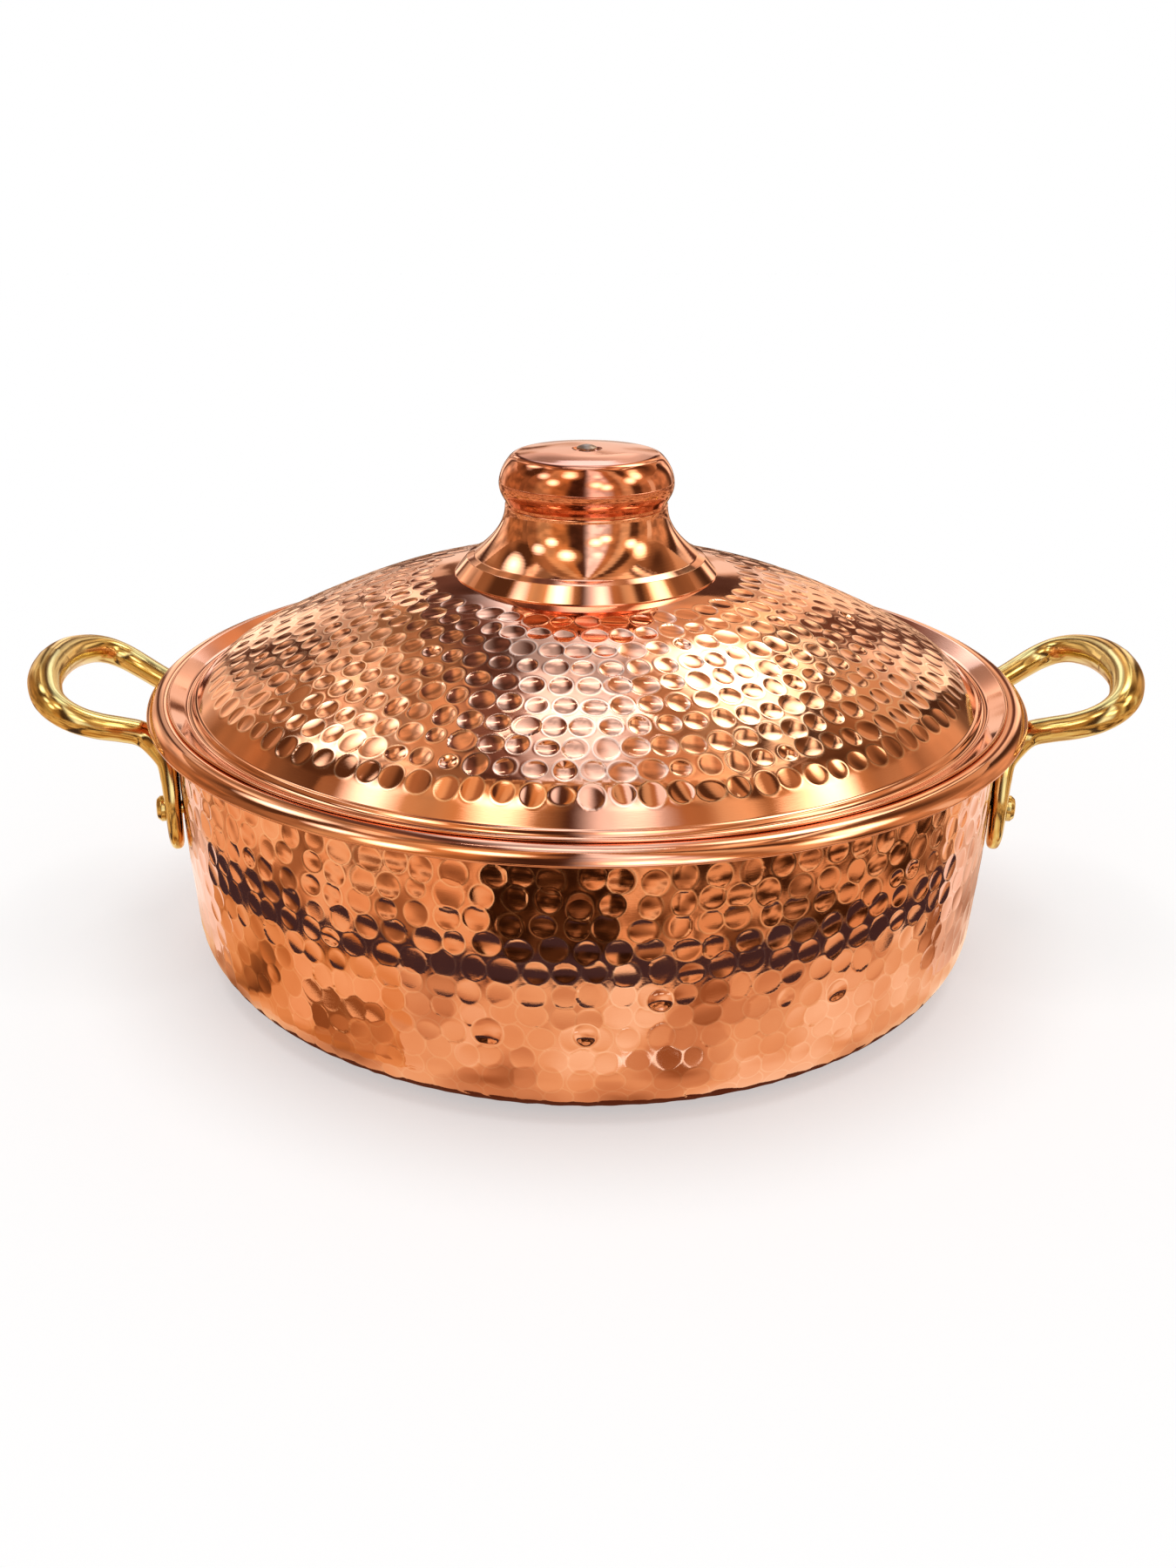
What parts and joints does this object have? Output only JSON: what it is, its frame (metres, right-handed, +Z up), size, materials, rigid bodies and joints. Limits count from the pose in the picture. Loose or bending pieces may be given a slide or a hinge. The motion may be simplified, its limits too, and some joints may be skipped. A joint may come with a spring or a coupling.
{
  "type": "lidded cooking pot",
  "caption": "Low round hammered copper cooking pot with a domed lid, a turned knob and riveted brass side handles.",
  "frame": {"origin": "centre of the flat bottom, on the plane that the pot stands on", "axes": "+Z up along the pot's axis, +X through the right handle, so both handles lie along X"},
  "size_m": [0.3838, 0.3, 0.1745],
  "materials": {
    "copper": "polished hammered copper",
    "brass": "polished cast brass",
    "steel": "plain"
  },
  "bodies": {
    "pot": {"pot_body": "copper", "handle_right": "brass", "handle_left": "brass", "rivet_right_front": "brass", "rivet_right_rear": "brass", "rivet_left_front": "brass", "rivet_left_rear": "brass", "burr_right_front": "brass", "burr_right_rear": "brass", "burr_left_front": "brass", "burr_left_rear": "brass"},
    "lid": {"lid_dome": "copper", "knob_base": "copper", "knob_cap": "copper", "knob_bolt": "steel", "knob_washer": "steel", "knob_nut": "steel"}
  },
  "joints": [
    {"name": "lid_lift", "type": "slide", "parent": "pot", "child": "lid", "axis": [0, 0, 1], "range_m": [0, 0.2]}
  ]
}
